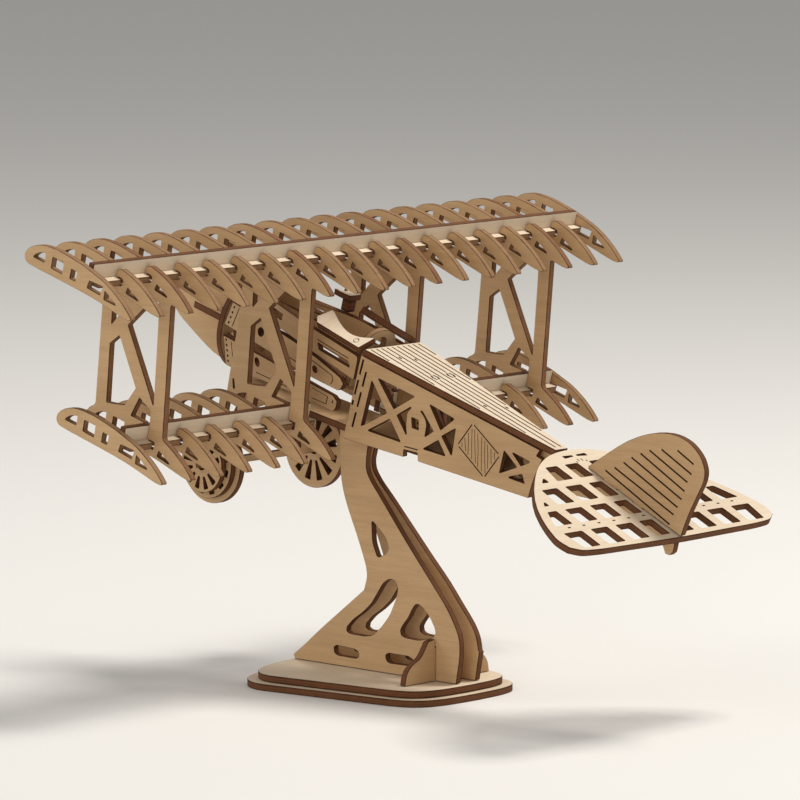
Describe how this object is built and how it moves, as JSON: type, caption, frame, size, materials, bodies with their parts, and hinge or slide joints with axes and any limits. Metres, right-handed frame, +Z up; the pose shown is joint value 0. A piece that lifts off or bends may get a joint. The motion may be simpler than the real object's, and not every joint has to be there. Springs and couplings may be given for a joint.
{
  "type": "wooden biplane display model",
  "caption": "Laser-cut plywood biplane display model with ribbed wings, trussed fuselage, spoked wheels and a pointed spinner, climbing on a curved stand with an oval base.",
  "frame": {"origin": "on the aircraft's centre line at the underside of the lower base plate, within 1 mm of the plate's middle", "axes": "+X towards the aircraft's port wing tip, -Y the way the nose points, +Z up"},
  "size_m": [0.2454, 0.2461, 0.1583],
  "materials": {
    "pale_plywood": "bare sanded plywood, lighter faces, scorched cut edges",
    "tan_plywood": "bare plywood, tan faces, dark scorched cut edges"
  },
  "bodies": {
    "airframe_and_stand": {"base_plate_lower": "pale_plywood", "base_plate_upper": "pale_plywood", "cockpit_coaming": "pale_plywood", "cowl_top_block": "pale_plywood", "fin": "tan_plywood", "fuselage_floor": "tan_plywood", "fuselage_side_port": "tan_plywood", "fuselage_side_starboard": "tan_plywood", "headrest_arch": "tan_plywood", "landing_gear_frame": "tan_plywood", "lower_rib_02": "tan_plywood", "lower_rib_04": "tan_plywood", "lower_rib_05": "tan_plywood", "lower_rib_06": "tan_plywood", "lower_rib_07": "tan_plywood", "lower_rib_13": "tan_plywood", "lower_rib_14": "tan_plywood", "lower_rib_15": "tan_plywood", "lower_rib_16": "tan_plywood", "lower_rib_18": "tan_plywood", "lower_spar_port": "pale_plywood", "lower_spar_starboard": "pale_plywood", "nose_ring": "tan_plywood", "nose_stave_port_lower": "tan_plywood", "nose_stave_port_middle": "tan_plywood", "nose_stave_port_upper": "tan_plywood", "nose_stave_starboard_lower": "tan_plywood", "nose_stave_starboard_middle": "tan_plywood", "nose_stave_starboard_upper": "tan_plywood", "rear_deck": "pale_plywood", "stand_cross_brace": "tan_plywood", "stand_plate_port": "tan_plywood", "stand_plate_starboard": "tan_plywood", "strut_frame_port_inner": "tan_plywood", "strut_frame_port_outer": "tan_plywood", "strut_frame_starboard_inner": "tan_plywood", "strut_frame_starboard_outer": "tan_plywood", "tail_keel": "tan_plywood", "tailplane": "pale_plywood", "upper_rib_01": "tan_plywood", "upper_rib_02": "tan_plywood", "upper_rib_04": "tan_plywood", "upper_rib_05": "tan_plywood", "upper_rib_06": "tan_plywood", "upper_rib_07": "tan_plywood", "upper_rib_09": "tan_plywood", "upper_rib_10": "tan_plywood", "upper_rib_11": "tan_plywood", "upper_rib_13": "tan_plywood", "upper_rib_14": "tan_plywood", "upper_rib_15": "tan_plywood", "upper_rib_16": "tan_plywood", "upper_rib_18": "tan_plywood", "upper_rib_19": "tan_plywood", "upper_spar": "pale_plywood"},
    "propeller_and_spinner": {"propeller": "tan_plywood", "spinner_flat": "tan_plywood", "spinner_upright": "tan_plywood"},
    "port_wheel": {"wheel_port": "tan_plywood"},
    "starboard_wheel": {"wheel_starboard": "tan_plywood"}
  },
  "joints": [
    {"name": "propeller_spin", "type": "hinge", "parent": "airframe_and_stand", "child": "propeller_and_spinner", "pos_m": [0, -0.072, 0.12096], "axis": [0, -0.9677, 0.2521], "continuous": true},
    {"name": "wheel_port_spin", "type": "hinge", "parent": "airframe_and_stand", "child": "port_wheel", "pos_m": [0.028, -0.06, 0.0739], "axis": [1, 0, 0], "continuous": true},
    {"name": "wheel_starboard_spin", "type": "hinge", "parent": "airframe_and_stand", "child": "starboard_wheel", "pos_m": [-0.028, -0.06, 0.0739], "axis": [1, 0, 0], "continuous": true}
  ]
}
